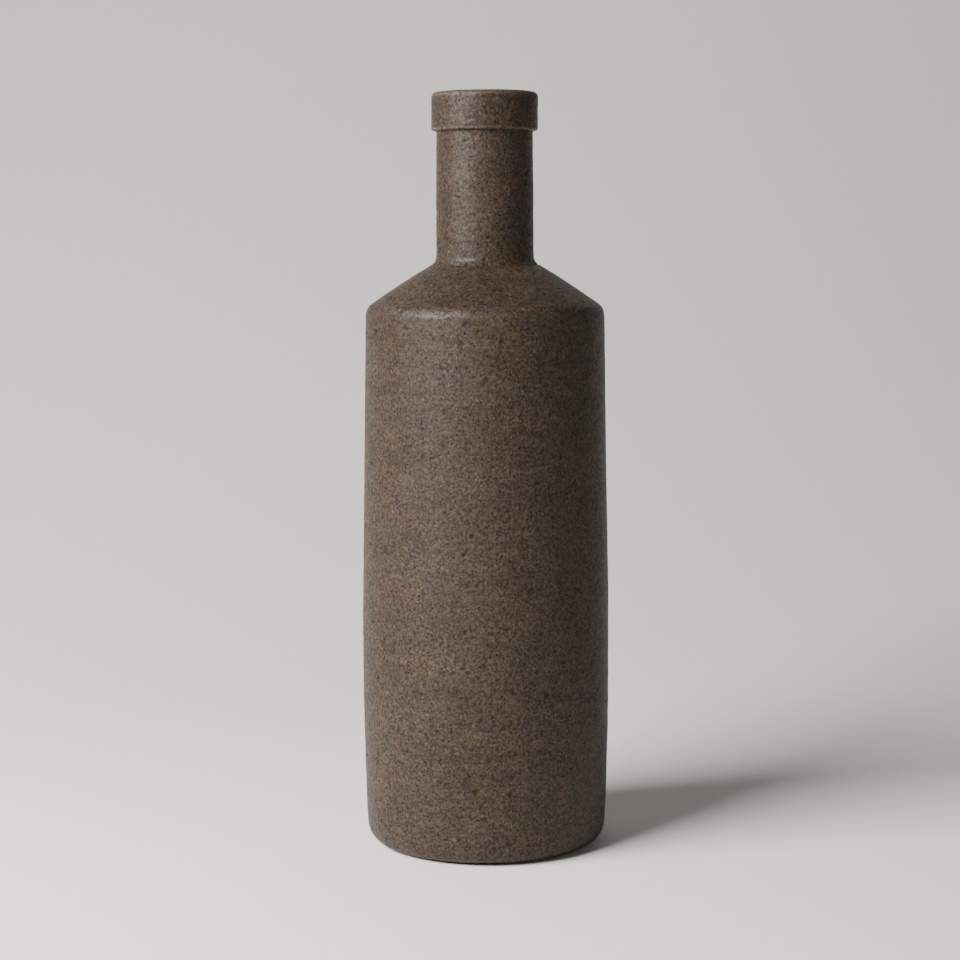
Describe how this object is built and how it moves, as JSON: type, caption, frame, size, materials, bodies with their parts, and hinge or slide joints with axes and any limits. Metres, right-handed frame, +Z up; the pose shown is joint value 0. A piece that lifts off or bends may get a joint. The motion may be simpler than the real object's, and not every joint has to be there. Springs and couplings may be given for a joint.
{
  "type": "sake bottle",
  "caption": "Tall unglazed stoneware bottle with a gently barrelled body, sloping shoulder, narrow straight neck and square mouth collar; glazed inside.",
  "frame": {"origin": "centre of the foot, on the plane the bottle stands on", "axes": "+Z up along the bottle's axis towards its mouth; the bottle is round, so X and Y are arbitrary"},
  "size_m": [0.0826, 0.0826, 0.25],
  "materials": {
    "stoneware": "unglazed, coarse grogged clay, fired dark brown",
    "liner_glaze": "thin gloss iron glaze"
  },
  "bodies": {
    "root": {"base_disc": "stoneware", "lower_body": "stoneware", "middle_body": "stoneware", "upper_body": "stoneware", "shoulder_cone": "stoneware", "neck_tube": "stoneware", "mouth_collar": "stoneware", "glaze_liner": "liner_glaze"}
  },
  "joints": []
}
